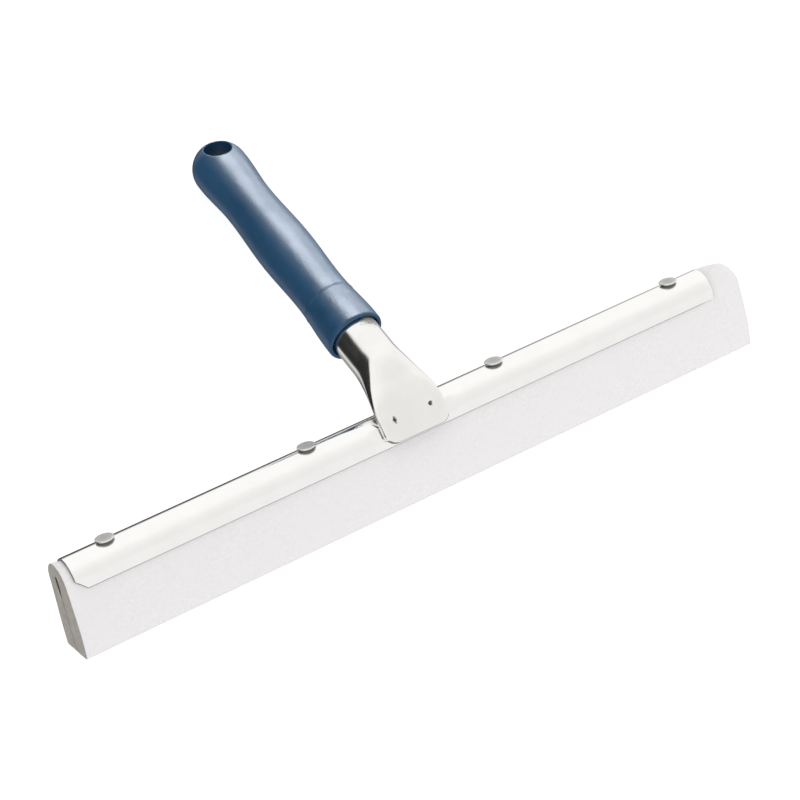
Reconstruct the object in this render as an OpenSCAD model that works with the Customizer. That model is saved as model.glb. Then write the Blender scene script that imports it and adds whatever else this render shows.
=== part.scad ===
// Squeegee applicator: a folded foam-rubber blade held in a bright steel rail by four rivets,
// with a steel tube handle that is flattened to a tongue, welded to the rail and covered by a grip.
//
// The modules are drawn in the blade's frame: X runs along the blade, Y points back from its front
// face and Z points up from the wiping edge. lay_down() then turns the whole tool to the way it
// rests on a table, on the blade's rear edge and the tip of the grip.

/* [Blade] */
// Length of the foam blade
blade_len = 350; // [300:5:400]
// How far the blade's middle is to the right of the handle
blade_offset = 4.3; // [0:0.1:6]
// Thickness of the two foam legs together at the wiping edge
blade_foot = 20.4; // [19:0.1:22]
// How far the front face of the foam swells below the rail
blade_bulge = 1.6; // [0:0.1:2]
// Width of the seam between the two legs
seam_w = 0.3; // [0.2:0.1:0.6]

/* [Rail] */
// Length of the folded sheet-steel rail
rail_len = 330; // [280:5:340]
// How far the rail's middle is to the left of the handle
rail_offset = 1.3; // [0:0.1:3]
// Outside width of the rail
rail_w = 19; // [18:0.5:21]
// Height of the rail's lower edge above the wiping edge
rail_low = 30.2; // [28:0.1:31]
// Height of the centre of the rail's round crown
crown_z = 33; // [32:0.5:34]
// Thickness of the sheet steel
sheet = 0.9; // [0.8:0.1:1.2]
// Cut-off at the lower left corners of the rail
rail_chamfer = 4.9; // [3:0.1:6]

/* [Rivets] */
// Distance from one rivet to the next
rivet_pitch = 97.4; // [80:0.1:100]
// Diameter of the flat rivet head
rivet_head_d = 8.4; // [7:0.1:9]
// Thickness of the rivet head
rivet_head_t = 1.4; // [1:0.1:2]
// Diameter of the rivet shank
rivet_shank_d = 4; // [3:0.5:4]

/* [Handle tube] */
// Outside diameter of the tube
tube_d = 22.2; // [22:0.1:22.6]
// Wall thickness of the tube
tube_wall = 1.5; // [1:0.1:1.6]
// Angle between the handle and the plane of the blade
handle_angle = 60; // [55:1:65]
// Angle between the flattened tongue and the plane of the blade
tongue_angle = 28.5; // [26:0.5:31]
// Full width of the flattened tongue
tongue_w = 33.4; // [33:0.1:34]
// Thickness of the flattened double wall
tongue_t = 3.2; // [3:0.1:3.4]
// Length from the foot of the tongue to the corner of the bend
tongue_len = 18.1; // [17:0.1:19]
// Length from the corner of the bend to the front of the grip
neck_len = 38.6; // [36:0.1:42]

/* [Grip] */
// Length from the front of the grip to the centre of its domed end
grip_len = 119.4; // [115:0.1:125]
// Radius of the domed end
dome_r = 13.45; // [13:0.05:14]
// Radius of the hanging hole
hang_r = 6.5; // [5:0.5:7]
// How far the hanging hole is past the centre of the dome
hang_offset = 3.4; // [2:0.1:4]

/* [Hidden] */
eps = 0.01;
$fn = 96;

// Rail and blade section, as [y, z] in the blade's frame.
crown_r = rail_w / 2;
crown_y = crown_r - 1; // the rail stands 1 mm proud of the blade's front face
crown_top = crown_z + crown_r;
foam_gap = 0.1; // keeps the foam and the sheet apart as solids
foam_r = crown_r - sheet - foam_gap;
free_r = crown_r - 0.4; // the foam swells where the rail ends
free_drop = 1.2; // the long free end sags by this much
blade_left = blade_offset - blade_len / 2;
blade_right = blade_offset + blade_len / 2;
rail_left = -rail_offset - rail_len / 2;
rail_right = -rail_offset + rail_len / 2;
slit_w = 1.8; // open slit in the fold, above the closed seam
slit_low = 29;
slit_high = 36.4;
leg_steps = 8;

// The rail's shoulder is pressed flat under the tongue. Distances are from the crown's centre.
tongue_front = 12.1;
seat_d = tongue_front - tongue_t;
seat_w = tongue_w + 4;

// The clamp strip lies inside the fold, and the rivets are closed against it.
strip_w = 8;
strip_t = 1.5;
strip_len = 310;
strip_z = 33.2;
strip_gap = 0.2;
tail_d = 6;
tail_t = 1.2;
hole_gap = 0.1;

// Path of the handle in the plane x = 0. The foot is the middle of the tongue's lower edge.
tongue_dir = [sin(tongue_angle), cos(tongue_angle)];
tongue_out = [-cos(tongue_angle), sin(tongue_angle)];
handle_dir = [sin(handle_angle), cos(handle_angle)];
foot_below = 6.4; // from the middle of the seat down to the foot
foot = [crown_y, crown_z] + tongue_out * (tongue_front - tongue_t / 2) - tongue_dir * foot_below;
corner = foot + tongue_dir * tongue_len;
collar = corner + handle_dir * neck_len;
bend_angle = handle_angle - tongue_angle;
bend_r = 22;
bend_cut = bend_r * tan(bend_angle / 2);
bend_start = tongue_len - bend_cut;
bend_len = bend_r * bend_angle * PI / 180;
bend_end = bend_start + bend_len;
neck_end = bend_end + neck_len - bend_cut;

// Shape of the neck, by distance along the path from the foot.
thick_start = 13; // the flat wall opens from here
thick_end = 36; // to here
narrow_start = 10; // the width falls from here
narrow_end = 42; // to here
round_end = 26; // the section is an ellipse from here
flat_power = 7; // how square the flat section's ends are
hollow_start = 17;
corner_r = 5.5;
corner_steps = 5;
ring_count = 26;
ring_sides = 36;

tube_inside = 100; // length of tube inside the grip

// Grip outline as [distance from its front, radius], smooth between these turning points.
grip_keys = [[3, 13.7], [31, 12.25], [60, 13.15], [93, 12.05], [117.5, 13.45]];
grip_steps = 12;
grip_bore_r = tube_d / 2 + 0.05;
grip_bore_len = tube_inside + 2;
lip_r = 12.7;
lip_steps = 5;
mouth_r = 12.1;
mouth_len = 2.5;
parting_s = 22;
parting_w = 0.5;
parting_d = 0.25;

// Rest position: the blade's rear edge and the dome both touch the table.
dome = collar + handle_dir * grip_len;
dome_reach = dome - [blade_foot, 0];
rest_tilt = atan2(dome_reach[1], dome_reach[0]) - asin(dome_r / norm(dome_reach));
rest_depth = dome[0] * cos(rest_tilt) + dome[1] * sin(rest_tilt) + dome_r;
rest_height = blade_foot * sin(rest_tilt);

function smooth(u) = let (c = min(max(u, 0), 1)) c * c * (3 - 2 * c);
function blend(s, s0, s1, a, b) = a + (b - a) * smooth((s - s0) / (s1 - s0));
function rivet_x(i) = (i - 2.5) * rivet_pitch;

// Turns the tool from the blade's frame to the way it lies on a table.
module lay_down() {
    translate([-blade_offset, -rest_depth / 2, rest_height])
        rotate([-rest_tilt, 0, 0])
            children();
}

// Extrudes a [y, z] section along the blade from x0 to x1.
module along_blade(x0, x1) {
    translate([x0, 0, 0])
        rotate([90, 0, 90])
            linear_extrude(x1 - x0)
                children();
}

// Puts +Z along the handle, with the origin at the front of the grip.
module along_handle() {
    translate([0, collar[0], collar[1]])
        rotate([-handle_angle, 0, 0])
            children();
}

// Keeps what lies behind the pressed seat, at distance d from the crown's centre.
module behind_seat(d) {
    intersection() {
        children();
        translate([crown_y, crown_z])
            rotate(-tongue_angle)
                translate([-d, -60])
                    square([120, 120]);
    }
}

// A round-topped arch of radius r, with straight sides down to z = low.
module arch(r, low) {
    translate([crown_y, crown_z])
        circle(r);
    translate([crown_y - r, low])
        square([2 * r, crown_z - low]);
}

module rail_section() {
    difference() {
        arch(crown_r, rail_low);
        arch(crown_r - sheet, rail_low - 1);
    }
}

module pressed_rail_section() {
    difference() {
        behind_seat(seat_d)
            arch(crown_r, rail_low);
        behind_seat(seat_d - sheet)
            arch(crown_r - sheet, rail_low - 1);
    }
}

// A 45 degree cut across both lower corners at the left end.
module rail_corners() {
    translate([rail_left, crown_y, rail_low])
        rotate([0, 45, 0])
            cube([rail_chamfer * sqrt(2), 2 * rail_w, rail_chamfer * sqrt(2)], center = true);
}

// Holes for the rivet shanks, open at the top, down to z = low.
module rivet_holes(low) {
    for (i = [1:4])
        translate([rivet_x(i), crown_y, low])
            cylinder(h = crown_top + 1 - low, d = rivet_shank_d + hole_gap);
}

module rail() {
    color("gainsboro")
        lay_down()
            difference() {
                union() {
                    along_blade(rail_left, -seat_w / 2)
                        rail_section();
                    along_blade(-seat_w / 2, seat_w / 2)
                        pressed_rail_section();
                    along_blade(seat_w / 2, rail_right)
                        rail_section();
                }
                rail_corners();
                rivet_holes(crown_z);
            }
}

// One outer face of the foam below z = top, as points from top to bottom that swell by bulge.
function leg_face(y_top, y_foot, bulge, top) =
    [for (i = [0:leg_steps])
        let (u = i / leg_steps)
        [y_top + (y_foot - y_top) * u + bulge * 4 * u * (1 - u), top * (1 - u)]];

// The two foam legs together, below z = top, where they are as wide as an arch of radius r.
module foam_legs(r, top) {
    back = leg_face(crown_y + r, blade_foot, blade_bulge / 2, top);
    polygon(concat(
        leg_face(crown_y - r, 0, -blade_bulge, top),
        [for (i = [leg_steps:-1:0]) back[i]]
    ));
}

// The open slit in the fold and the closed seam below it.
module foam_slit() {
    seam = seam_w / 2;
    slit = slit_w / 2;
    translate([crown_y, slit_high - slit])
        circle(slit);
    polygon([
        [crown_y - slit, slit_high - slit], [crown_y - seam, slit_low], [blade_foot / 2 - seam, -1],
        [blade_foot / 2 + seam, -1], [crown_y + seam, slit_low], [crown_y + slit, slit_high - slit]
    ]);
}

module foam_section() {
    difference() {
        union() {
            arch(foam_r, rail_low);
            foam_legs(foam_r, rail_low);
        }
        foam_slit();
    }
}

module pressed_foam_section() {
    difference() {
        union() {
            behind_seat(seat_d - sheet - foam_gap)
                arch(foam_r, rail_low);
            foam_legs(foam_r, rail_low);
        }
        foam_slit();
    }
}

// The foam past the ends of the rail, which nothing squeezes. It sags by drop.
module free_foam_section(drop) {
    difference() {
        translate([0, -drop])
            arch(free_r, rail_low);
        translate([-crown_y, -2 * rail_w])
            square([4 * rail_w, 2 * rail_w]);
        foam_slit();
    }
    difference() {
        foam_legs(free_r, rail_low);
        foam_slit();
    }
}

// Room inside the fold for the clamp strip and the closed tails of the rivets.
module strip_pocket() {
    gap = strip_gap;
    translate([-strip_len / 2 - gap, crown_y - strip_w / 2 - gap, strip_z - gap])
        cube([strip_len + 2 * gap, strip_w + 2 * gap, strip_t + 2 * gap]);
    for (i = [1:4])
        translate([rivet_x(i), crown_y, strip_z - tail_t - gap])
            cylinder(h = tail_t + gap, d = tail_d + 2 * gap);
}

module blade() {
    color("whitesmoke")
        lay_down()
            difference() {
                union() {
                    along_blade(blade_left, rail_left)
                        free_foam_section(0);
                    along_blade(rail_left, -seat_w / 2)
                        foam_section();
                    along_blade(-seat_w / 2, seat_w / 2)
                        pressed_foam_section();
                    along_blade(seat_w / 2, rail_right)
                        foam_section();
                    along_blade(rail_right, blade_right)
                        free_foam_section(free_drop);
                }
                strip_pocket();
                rivet_holes(strip_z);
            }
}

module clamp_strip() {
    color("darkgray")
        lay_down()
            difference() {
                translate([-strip_len / 2, crown_y - strip_w / 2, strip_z])
                    cube([strip_len, strip_w, strip_t]);
                rivet_holes(strip_z - 1);
            }
}

// Flat round head on the crown, straight shank, and a tail closed under the clamp strip.
module rivet(i) {
    bevel = rivet_head_t / 3;
    head = rivet_head_d / 2;
    color("silver")
        lay_down()
            translate([rivet_x(i), crown_y, 0])
                rotate_extrude()
                    polygon([
                        [0, strip_z - tail_t], [tail_d / 2, strip_z - tail_t],
                        [tail_d / 2, strip_z], [rivet_shank_d / 2, strip_z],
                        [rivet_shank_d / 2, crown_top], [head - bevel, crown_top],
                        [head, crown_top + bevel], [head, crown_top + rivet_head_t - bevel],
                        [head - bevel, crown_top + rivet_head_t], [0, crown_top + rivet_head_t]
                    ]);
}

// Angle from +Z and [y, z] of the handle's path at distance s from the foot.
function path_angle(s) =
    s < bend_start ? tongue_angle
    : s > bend_end ? handle_angle
    : tongue_angle + (s - bend_start) / bend_r * 180 / PI;
function path_point(s) =
    s < bend_start ? foot + tongue_dir * s
    : s > bend_end ? corner + handle_dir * (bend_cut + s - bend_end)
    : let (a = path_angle(s))
      foot + tongue_dir * bend_start
      + bend_r * [cos(tongue_angle) - cos(a), sin(a) - sin(tongue_angle)];

// Half width, half thickness and squareness of the tube's section at s.
function corner_cut(s) = s >= corner_r ? 0 : corner_r - sqrt(corner_r ^ 2 - (corner_r - s) ^ 2);
function half_width(s) = blend(s, narrow_start, narrow_end, tongue_w / 2, tube_d / 2) - corner_cut(s);
function half_thick(s) = blend(s, thick_start, thick_end, tongue_t / 2, tube_d / 2);
function section_power(s) = 2 / blend(s, hollow_start - 6, round_end, flat_power, 2);
function signed_power(v, p) = sign(v) * abs(v) ^ p;

// One ring of points round the path at s, smaller than the outside by inset.
function ring(s, inset) =
    let (
        a = path_angle(s),
        c = path_point(s),
        w = half_width(s) - inset,
        t = half_thick(s) - inset,
        p = section_power(s)
    )
    [for (j = [0:ring_sides - 1])
        let (
            q = 360 * (j + 0.5) / ring_sides,
            out = t * signed_power(sin(q), p)
        )
        [w * signed_power(cos(q), p), c[0] - cos(a) * out, c[1] + sin(a) * out]];

// A closed solid through rings of points of equal length.
module loft(rings) {
    n = len(rings[0]);
    last = len(rings) - 1;
    sides = [for (i = [0:last - 1]) for (j = [0:n - 1])
        [i * n + j, i * n + (j + 1) % n, (i + 1) * n + (j + 1) % n, (i + 1) * n + j]];
    polyhedron(
        points = [for (r = rings) for (p = r) p],
        faces = concat(
            [[for (j = [n - 1:-1:0]) j]],
            sides,
            [[for (j = [0:n - 1]) last * n + j]]
        ),
        convexity = 6
    );
}

// The rings run up the outside from the foot of the tongue to the open end inside the grip, then back
// down the inside to where the two walls close.
module handle_tube() {
    span = neck_end - corner_r;
    hollow = neck_end - hollow_start;
    rounds = [for (i = [0:corner_steps - 1]) ring(corner_r * (1 - cos(90 * i / corner_steps)), 0)];
    outside = [for (i = [0:ring_count]) ring(corner_r + span * i / ring_count, 0)];
    end = [ring(neck_end + tube_inside, 0), ring(neck_end + tube_inside, tube_wall)];
    inside = [for (i = [ring_count:-1:0]) ring(hollow_start + hollow * i / ring_count, tube_wall)];
    color("white")
        lay_down()
            loft(concat(rounds, outside, end, inside));
}

// Radius at a share u of the way from turning point a to turning point b.
function wave(a, b, u) = a[1] + (b[1] - a[1]) * (1 - cos(180 * u)) / 2;

// Points along the grip's outside, each a smooth step between two turning points.
function grip_curve() =
    [for (k = [0:len(grip_keys) - 2]) for (i = [0:grip_steps - 1])
        let (
            a = grip_keys[k],
            b = grip_keys[k + 1],
            u = i / grip_steps
        )
        [wave(a, b, u), a[0] + (b[0] - a[0]) * u]];

// Rounded front lip, from the mouth out to the first turning point.
function grip_lip() =
    [for (i = [0:lip_steps - 1])
        let (q = 90 * i / lip_steps)
        [lip_r + (grip_keys[0][1] - lip_r) * sin(q), grip_keys[0][0] * (1 - cos(q))]];

module grip() {
    first = grip_keys[0];
    second = grip_keys[1];
    parting_r = wave(first, second, (parting_s - first[0]) / (second[0] - first[0]));
    color("steelblue")
        lay_down()
            along_handle()
                difference() {
                    union() {
                        rotate_extrude()
                            polygon(concat(
                                [[0, 0]], grip_lip(), grip_curve(), [[dome_r, grip_len], [0, grip_len]]
                            ));
                        translate([0, 0, grip_len])
                            sphere(dome_r);
                    }
                    translate([0, 0, -1])
                        cylinder(h = grip_bore_len + 1, r = grip_bore_r);
                    translate([0, 0, -eps])
                        cylinder(h = mouth_len, r1 = mouth_r, r2 = grip_bore_r);
                    rotate_extrude()
                        translate([parting_r - parting_d, parting_s])
                            square([2, parting_w]);
                    translate([0, 0, grip_len + hang_offset])
                        rotate([90, 0, 0])
                            cylinder(h = 4 * dome_r, r = hang_r, center = true);
                }
}

rail();
blade();
clamp_strip();
rivet(1);  // rivet_1
rivet(2);  // rivet_2
rivet(3);  // rivet_3
rivet(4);  // rivet_4
handle_tube();
grip();
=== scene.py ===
"""Looks of the squeegee applicator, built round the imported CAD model.

Pieces are meshed in millimetres in the frames that part.scad uses: the blade's frame (X along the
blade, Y back, Z up from the wiping edge) or the handle's frame (Z along the handle from the front
of the grip). Each mesh is then laid down the way the CAD lays its nodes.
"""

from math import atan2, cos, hypot, pi, radians, sin, sqrt, tan

import bmesh
import bpy
import numpy as np
from mathutils import Euler, Matrix, Vector


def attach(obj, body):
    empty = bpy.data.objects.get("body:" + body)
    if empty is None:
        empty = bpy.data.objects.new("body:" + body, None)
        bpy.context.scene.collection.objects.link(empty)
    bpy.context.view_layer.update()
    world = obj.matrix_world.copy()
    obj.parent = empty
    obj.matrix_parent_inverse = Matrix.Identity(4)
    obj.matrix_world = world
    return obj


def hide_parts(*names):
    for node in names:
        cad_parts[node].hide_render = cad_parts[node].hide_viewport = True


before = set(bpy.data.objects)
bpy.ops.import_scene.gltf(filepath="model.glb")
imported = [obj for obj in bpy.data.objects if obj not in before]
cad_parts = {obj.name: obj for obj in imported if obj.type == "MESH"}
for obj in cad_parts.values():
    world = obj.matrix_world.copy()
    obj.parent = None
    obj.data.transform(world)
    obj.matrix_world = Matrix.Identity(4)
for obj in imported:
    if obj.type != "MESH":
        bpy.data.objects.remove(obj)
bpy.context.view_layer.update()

MM = 0.001

# ---- Numbers shared with part.scad, in millimetres and degrees ----

BLADE_LEFT, BLADE_RIGHT = -170.7, 179.3
BLADE_FOOT = 20.4
BLADE_BULGE = 1.6
RAIL_LEFT, RAIL_RIGHT = -166.3, 163.7
RAIL_LOW = 30.2
RAIL_CHAMFER = 4.9
SHEET = 0.9
CROWN_Y, CROWN_Z, CROWN_R = 8.5, 33.0, 9.5
CROWN_TOP = CROWN_Z + CROWN_R
FOAM_R, FREE_R = 8.5, 9.1
FOAM_GAP = 0.1
SEAM_W, SLIT_W = 0.3, 1.8
SLIT_LOW, SLIT_HIGH = 29.0, 36.4
STRIP_LEN = 310.0
STRIP_Z = 33.2
RIVET_PITCH = 97.4
RIVET_HEAD_T = 1.4
TONGUE_ANGLE, HANDLE_ANGLE = 28.5, 60.0
TONGUE_FRONT, TONGUE_W, TONGUE_T = 12.1, 33.4, 3.2
TONGUE_LEN, NECK_LEN = 18.1, 38.6
FOOT_BELOW = 6.4
BEND_R = 22.0
TUBE_R, TUBE_WALL, TUBE_INSIDE = 11.1, 1.5, 100.0
CORNER_R = 5.5
THICK_START, THICK_END = 13.0, 36.0
NARROW_START, NARROW_END = 10.0, 42.0
HOLLOW_START = 17.0
# Turning points of the grip's outline, as (distance from its front, radius).
GRIP_KEYS = ((3, 13.7), (31, 12.25), (60, 13.15), (93, 12.05), (117.5, 13.45))
GRIP_LEN, DOME_R = 119.4, 13.45
HANG_R, HANG_OFFSET = 6.5, 3.4
BORE_R, BORE_LEN = 11.15, 102.0
MOUTH_R, MOUTH_LEN = 12.1, 2.5
PARTING_S = 22.0


def unit(angle):
    """Direction at an angle from +Z towards +Y, as [y, z]."""
    return np.array([sin(radians(angle)), cos(radians(angle))])


TONGUE_DIR = unit(TONGUE_ANGLE)
TONGUE_OUT = unit(TONGUE_ANGLE - 90)
HANDLE_DIR = unit(HANDLE_ANGLE)
FOOT = (
    np.array([CROWN_Y, CROWN_Z])
    + TONGUE_OUT * (TONGUE_FRONT - TONGUE_T / 2)
    - TONGUE_DIR * FOOT_BELOW
)
CORNER = FOOT + TONGUE_DIR * TONGUE_LEN
COLLAR = CORNER + HANDLE_DIR * NECK_LEN
BEND = HANDLE_ANGLE - TONGUE_ANGLE
BEND_CUT = BEND_R * tan(radians(BEND / 2))
BEND_START = TONGUE_LEN - BEND_CUT
BEND_END = BEND_START + BEND_R * radians(BEND)
NECK_END = BEND_END + NECK_LEN - BEND_CUT

# Rest position: the blade's rear edge and the grip's dome both touch the table.
DOME = COLLAR + HANDLE_DIR * GRIP_LEN
REACH = DOME - np.array([BLADE_FOOT, 0])
REST_TILT = atan2(REACH[1], REACH[0]) - np.arcsin(DOME_R / np.hypot(*REACH))
REST_DEPTH = DOME[0] * cos(REST_TILT) + DOME[1] * sin(REST_TILT) + DOME_R
LAY = Matrix.Translation(
    Vector((-(BLADE_LEFT + BLADE_RIGHT) / 2, -REST_DEPTH / 2, BLADE_FOOT * sin(REST_TILT))) * MM
) @ Matrix.Rotation(-REST_TILT, 4, "X")
LAY_HANDLE = (
    LAY
    @ Matrix.Translation(Vector((0, *COLLAR)) * MM)
    @ Matrix.Rotation(-radians(HANDLE_ANGLE), 4, "X")
)


def smooth(u):
    c = min(max(u, 0.0), 1.0)
    return c * c * (3 - 2 * c)


def step(s, s0, s1, a, b):
    """a before s0, b after s1, and a smooth change between them."""
    return a + (b - a) * smooth((s - s0) / (s1 - s0))


# ---- Shader nodes ----


def add(tree, kind, inputs=None, **settings):
    """Adds a node. An input is a value or another node's socket."""
    made = tree.nodes.new("ShaderNode" + kind)
    for key, value in settings.items():
        setattr(made, key, value)
    for key, value in (inputs or {}).items():
        if isinstance(value, bpy.types.NodeSocket):
            tree.links.new(value, made.inputs[key])
        else:
            made.inputs[key].default_value = value
    return made


def smooth_range(tree, value, low, high, to_low=0.0, to_high=1.0):
    """The value between low and high, as a smooth change from to_low to to_high."""
    inputs = {"Value": value, "From Min": low, "From Max": high, "To Min": to_low, "To Max": to_high}
    return add(tree, "MapRange", inputs, interpolation_type="SMOOTHSTEP").outputs["Result"]


def calc(tree, operation, a, b):
    return add(tree, "Math", {0: a, 1: b}, operation=operation).outputs[0]


# ---- Camera, light and floor ----


def add_camera():
    data = bpy.data.cameras.new("camera")
    data.sensor_width = 36
    data.lens = 106.16
    data.clip_start = 0.01
    camera = bpy.data.objects.new("camera", data)
    camera.location = (-0.40356, -0.41346, 0.92397)
    camera.rotation_euler = Euler([radians(a) for a in (29.393, -10.165, -31.508)])
    bpy.context.scene.collection.objects.link(camera)
    bpy.context.scene.camera = camera


def near_direction(tree, direction, way, edge, core):
    """1 within core degrees of a direction, and 0 past edge degrees from it."""
    inputs = {0: direction, 1: Vector(way).normalized()}
    along = add(tree, "VectorMath", inputs, operation="DOT_PRODUCT").outputs["Value"]
    return smooth_range(tree, along, cos(radians(edge)), cos(radians(core)))


def add_world():
    """A bright studio, with a dark wall and a window on the left, and shade behind and below."""
    world = bpy.data.worlds.new("studio")
    bpy.context.scene.world = world
    world.use_nodes = True
    tree = world.node_tree
    tree.nodes.clear()
    direction = add(tree, "TexCoord").outputs["Generated"]
    axes = add(tree, "SeparateXYZ", {"Vector": direction}).outputs

    def patch(way, edge, core, share):
        """The share of the light that is taken away round one direction."""
        return calc(tree, "MULTIPLY", near_direction(tree, direction, way, edge, core), share)

    left = smooth_range(tree, axes["X"], -0.30, -0.46)
    above_low = smooth_range(tree, axes["Z"], -0.80, -0.62)
    below_high = smooth_range(tree, axes["Z"], 0.52, 0.40)
    towards_back = smooth_range(tree, axes["Y"], -0.42, -0.18, 0.0, 0.976)
    window = calc(tree, "SUBTRACT", 1.0, patch((-0.97, 0.2, 0.12), edge=17, core=9, share=0.85))
    dark = left
    for limit in (above_low, below_high, towards_back, window):
        dark = calc(tree, "MULTIPLY", dark, limit)
    behind = patch((0.10, 0.68, -0.72), edge=34, core=14, share=0.95)
    below = patch((0.3, 0.0, -0.95), edge=60, core=34, share=0.68)
    for shade in (behind, below):
        dark = calc(tree, "MAXIMUM", dark, shade)
    overhead = patch((0.39, -0.28, 0.88), edge=38, core=10, share=0.04)
    room = smooth_range(tree, axes["Y"], -0.7, 0.6, 0.92, 1.03)
    level = calc(tree, "SUBTRACT", room, overhead)
    light = calc(tree, "MULTIPLY", level, calc(tree, "SUBTRACT", 1.0, dark))
    seen = add(tree, "LightPath").outputs["Is Camera Ray"]
    strength = calc(tree, "MAXIMUM", light, seen)
    background = add(tree, "Background", {"Color": (1.0, 0.995, 0.985, 1), "Strength": strength})
    output = add(tree, "OutputWorld")
    tree.links.new(background.outputs[0], output.inputs["Surface"])


def add_softbox(name, direction, distance, width, height, power, mirrored):
    """A rectangular lamp that shines at the tool's middle, in gloss alone or in matte alone."""
    data = bpy.data.lights.new(name, "AREA")
    data.shape = "RECTANGLE"
    data.size = width
    data.size_y = height
    data.energy = power
    lamp = bpy.data.objects.new(name, data)
    away = Vector(direction).normalized()
    lamp.location = away * distance
    lamp.rotation_euler = away.to_track_quat("Z", "Y").to_euler()
    lamp.visible_glossy = mirrored
    lamp.visible_diffuse = not mirrored
    bpy.context.scene.collection.objects.link(lamp)
    return lamp


def add_lamps():
    """Two lamps for gloss, which are returned, and two for matte surfaces."""
    back = add_softbox(
        "softbox_back", (0.27, 0.674, 0.68), distance=1.3, width=0.95, height=0.7, power=35, mirrored=True
    )
    right = add_softbox(
        "softbox_right", (0.75, 0.6, 0.25), distance=1.5, width=0.9, height=0.9, power=15, mirrored=True
    )
    add_softbox(
        "softbox_front", (0.45, -0.75, 0.55), distance=1.5, width=0.9, height=0.7, power=2.2, mirrored=False
    )
    add_softbox(
        "softbox_side", (0.85, 0.4, 0.35), distance=1.5, width=0.9, height=0.7, power=2.0, mirrored=False
    )
    return back, right


def light_only(lamp, piece):
    """Makes a lamp shine on one piece alone."""
    lit = bpy.data.collections.new(lamp.name + "_lit")
    lit.objects.link(piece)
    lamp.light_linking.receiver_collection = lit


def add_floor():
    """A plain floor that glows white, so that the shadows on it stay faint."""
    half = 6.0
    mesh = bpy.data.meshes.new("floor")
    corners = [(-half, -half, 0), (half, -half, 0), (half, half, 0), (-half, half, 0)]
    mesh.from_pydata(corners, [], [(0, 1, 2, 3)])
    floor = bpy.data.objects.new("floor", mesh)
    bpy.context.scene.collection.objects.link(floor)
    material = bpy.data.materials.new("floor_white")
    material.use_nodes = True
    tree = material.node_tree
    tree.nodes.clear()
    matte = add(tree, "BsdfDiffuse", {"Color": (0.25, 0.25, 0.25, 1)})
    glow = add(tree, "Emission", {"Color": (1, 1, 1, 1), "Strength": 0.885})
    both = add(tree, "AddShader", {0: matte.outputs[0], 1: glow.outputs[0]})
    output = add(tree, "OutputMaterial")
    tree.links.new(both.outputs[0], output.inputs["Surface"])
    mesh.materials.append(material)
    floor.visible_glossy = False


# ---- Materials ----


def new_material(name, shader_inputs):
    """A material with a Principled shader, and the shader's node to link detail into."""
    material = bpy.data.materials.new(name)
    material.use_nodes = True
    tree = material.node_tree
    tree.nodes.clear()
    shader = add(tree, "BsdfPrincipled", shader_inputs)
    output = add(tree, "OutputMaterial")
    tree.links.new(shader.outputs[0], output.inputs["Surface"])
    return material, tree, shader


def place_in_mm(tree, stretch=(1, 1, 1), stored=True):
    """The place that the piece's mesh stores, in millimetres, divided by stretch.

    A CAD node stores none, so its place comes from its object coordinates.
    """
    if stored:
        source = add(tree, "Attribute", attribute_name="place").outputs["Vector"]
        scale = [1 / s for s in stretch]
    else:
        source = add(tree, "TexCoord").outputs["Object"]
        scale = [1 / (s * MM) for s in stretch]
    return add(tree, "Mapping", {"Vector": source, "Scale": scale}).outputs["Vector"]


def near_place(tree, middle, reach, ragged=0.0):
    """1 at a place in the piece's own frame, falling to 0 at reach millimetres along each axis.

    ragged is how far noise moves the edge, in millimetres.
    """
    source = add(tree, "Attribute", attribute_name="place").outputs["Vector"]
    offset = add(tree, "VectorMath", {0: source, 1: middle}, operation="SUBTRACT").outputs["Vector"]
    if ragged:
        moves = add(tree, "TexNoise", {"Vector": source, "Scale": 0.8, "Detail": 2.0}).outputs["Color"]
        inputs = {0: moves, 1: (2 * ragged,) * 3, 2: (-ragged,) * 3}
        moved = add(tree, "VectorMath", inputs, operation="MULTIPLY_ADD").outputs["Vector"]
        offset = add(tree, "VectorMath", {0: offset, 1: moved}, operation="ADD").outputs["Vector"]
    inputs = {0: offset, 1: [1 / r for r in reach]}
    scaled = add(tree, "VectorMath", inputs, operation="MULTIPLY").outputs["Vector"]
    return add(tree, "TexGradient", {"Vector": scaled}, gradient_type="SPHERICAL").outputs["Fac"]


def noise(tree, vector, size, detail=2.0, rough=0.5):
    """Noise whose blobs are about that many millimetres across."""
    inputs = {"Vector": vector, "Scale": 1 / size, "Detail": detail, "Roughness": rough}
    return add(tree, "TexNoise", inputs).outputs["Fac"]


def cells(tree, vector, size):
    """Distance from the middle of each cell, in cells about that many millimetres across."""
    inputs = {"Vector": vector, "Scale": 1 / size}
    return add(tree, "TexVoronoi", inputs).outputs["Distance"]


def mix_colour(tree, factor, a, b):
    """A mix from a to b, which are each a colour or another node's socket."""
    made = add(tree, "Mix", data_type="RGBA")
    tree.links.new(factor, made.inputs["Factor"])
    first, second, result = 6, 7, 2  # the colour sockets, among the sockets of every type
    for number, colour in ((first, a), (second, b)):
        if isinstance(colour, bpy.types.NodeSocket):
            tree.links.new(colour, made.inputs[number])
        else:
            made.inputs[number].default_value = (*colour, 1)
    return made.outputs[result]


def bump(tree, height, depth_mm, under=None):
    """A normal from a height of 0 to 1, on top of another normal."""
    inputs = {"Height": height, "Distance": depth_mm * MM, "Strength": 1.0}
    if under:
        inputs["Normal"] = under
    return add(tree, "Bump", inputs).outputs["Normal"]


def link(tree, shader, **sockets):
    """Links sockets to the shader's inputs, with _ for a space in their names."""
    for name, socket in sockets.items():
        tree.links.new(socket, shader.inputs[name.replace("_", " ")])


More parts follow.
